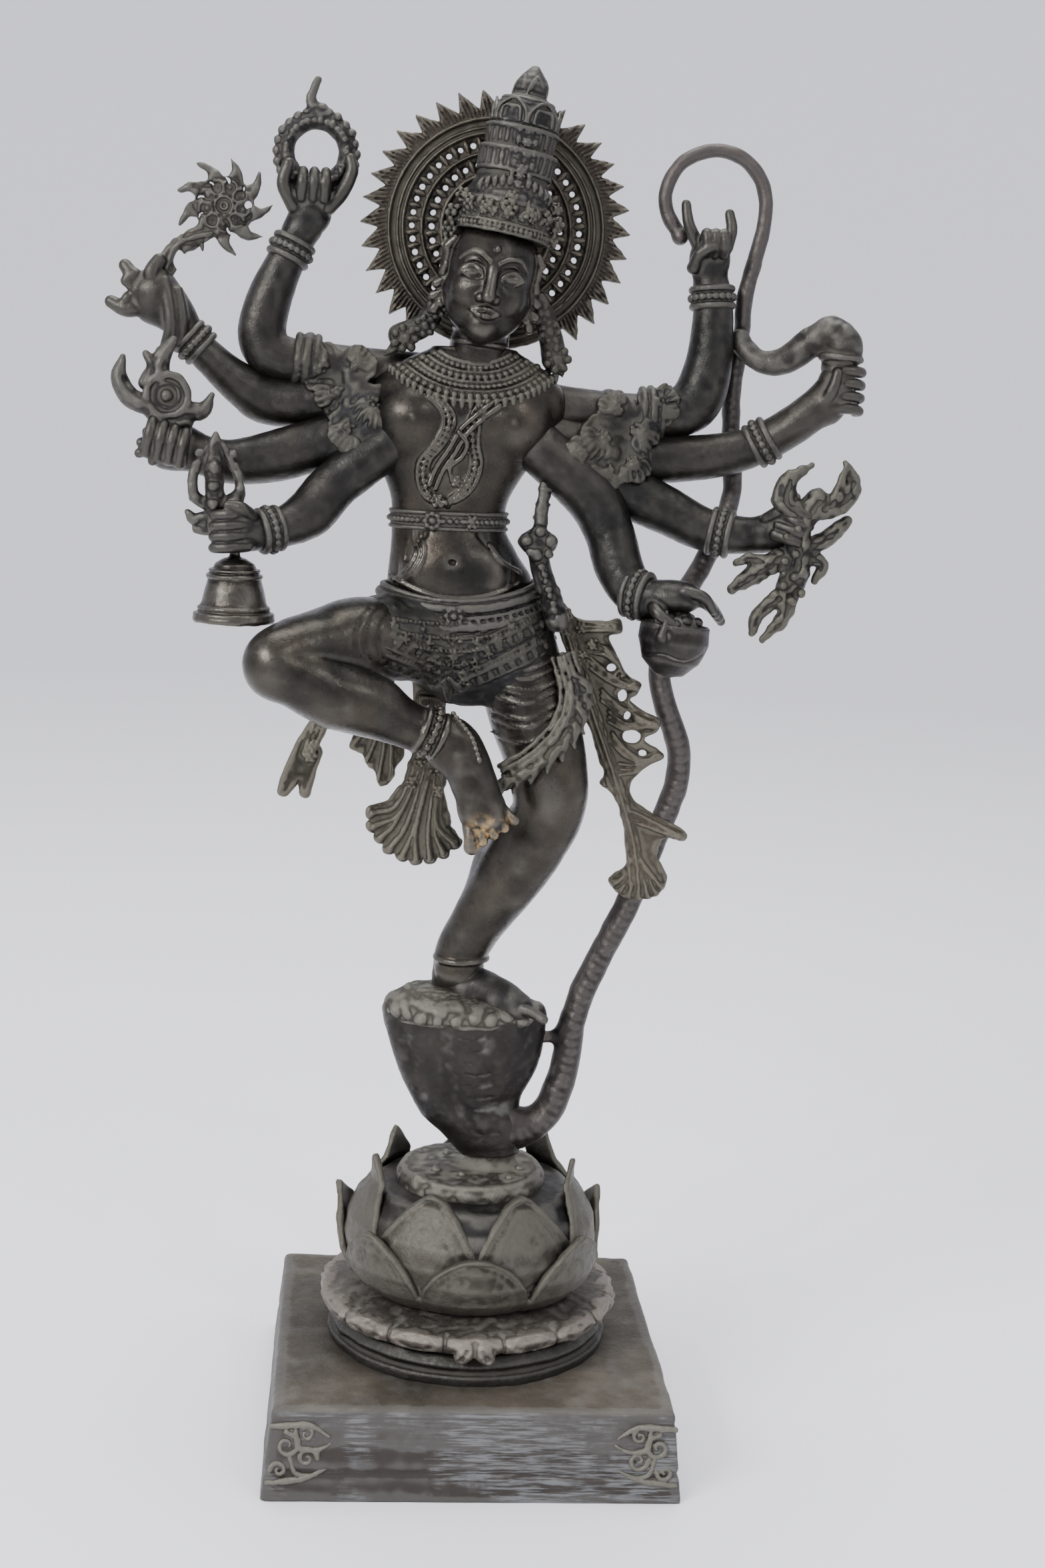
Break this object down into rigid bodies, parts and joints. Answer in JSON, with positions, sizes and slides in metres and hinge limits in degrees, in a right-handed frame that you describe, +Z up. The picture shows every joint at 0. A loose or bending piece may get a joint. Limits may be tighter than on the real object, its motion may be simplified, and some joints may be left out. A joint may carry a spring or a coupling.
{
  "type": "nataraja statue",
  "caption": "Cast bronze statue of a many-armed dancing goddess on a naga hood, lotus and square plinth, with a pierced halo and a snake noose.",
  "frame": {"origin": "middle of the whole object's footprint on the surface that the plinth stands on; the plinth's own centre is 7.7 mm along +X", "axes": "+Z up, -Y is the side that the figure faces, +X is the viewer's right"},
  "size_m": [0.337, 0.19, 0.634],
  "materials": {
    "bronze_dark": "dark brown-black patina with olive dust in the recesses",
    "bronze_polished": "handled dark bronze, semi-gloss purple-brown on the high spots",
    "bronze_verdigris": "matt grey-green verdigris and dust over dark bronze"
  },
  "bodies": {
    "root": {"plinth": "bronze_dark", "lotus_foot": "bronze_dark", "lotus_dish": "bronze_verdigris", "lotus_bowl": "bronze_dark", "lotus_outer_petals": "bronze_dark", "lotus_inner_petals": "bronze_dark", "lotus_pod": "bronze_verdigris", "naga_hood": "bronze_dark", "naga_hood_cap": "bronze_verdigris", "naga_lower_body": "bronze_dark", "naga_upper_body": "bronze_dark", "naga_tail": "bronze_dark", "noose": "bronze_dark", "standing_foot": "bronze_dark", "standing_leg": "bronze_polished", "raised_leg": "bronze_polished", "raised_foot": "bronze_polished", "pelvis": "bronze_dark", "torso": "bronze_polished", "girdle": "bronze_dark", "waist_band": "bronze_dark", "necklace": "bronze_dark", "hip_tassel": "bronze_dark", "head": "bronze_polished", "diadem": "bronze_dark", "crown": "bronze_dark", "crown_finial": "bronze_dark", "left_earring": "bronze_dark", "right_earring": "bronze_dark", "halo": "bronze_dark", "arm_left_1": "bronze_dark", "arm_left_2": "bronze_dark", "arm_left_3": "bronze_dark", "arm_left_4": "bronze_dark", "arm_right_1": "bronze_dark", "arm_right_2": "bronze_dark", "arm_right_3": "bronze_dark", "arm_right_4": "bronze_dark", "bracelet_left_1": "bronze_dark", "bracelet_left_2": "bronze_dark", "bracelet_left_4": "bronze_dark", "bracelet_right_1": "bronze_dark", "bracelet_right_2": "bronze_dark", "bracelet_right_3": "bronze_dark", "bracelet_right_4": "bronze_dark", "armlet_left": "bronze_dark", "armlet_right": "bronze_dark", "beaded_ring": "bronze_dark", "star_wheel": "bronze_dark", "hooked_disc": "bronze_dark", "bell": "bronze_dark", "bell_handle": "bronze_dark", "horn": "bronze_dark", "claw_trident": "bronze_dark", "skull_cup": "bronze_dark", "swag": "bronze_dark", "side_sash": "bronze_verdigris", "fan_sash": "bronze_verdigris", "leaf_sash": "bronze_verdigris", "ribbon": "bronze_verdigris"}
  },
  "joints": []
}
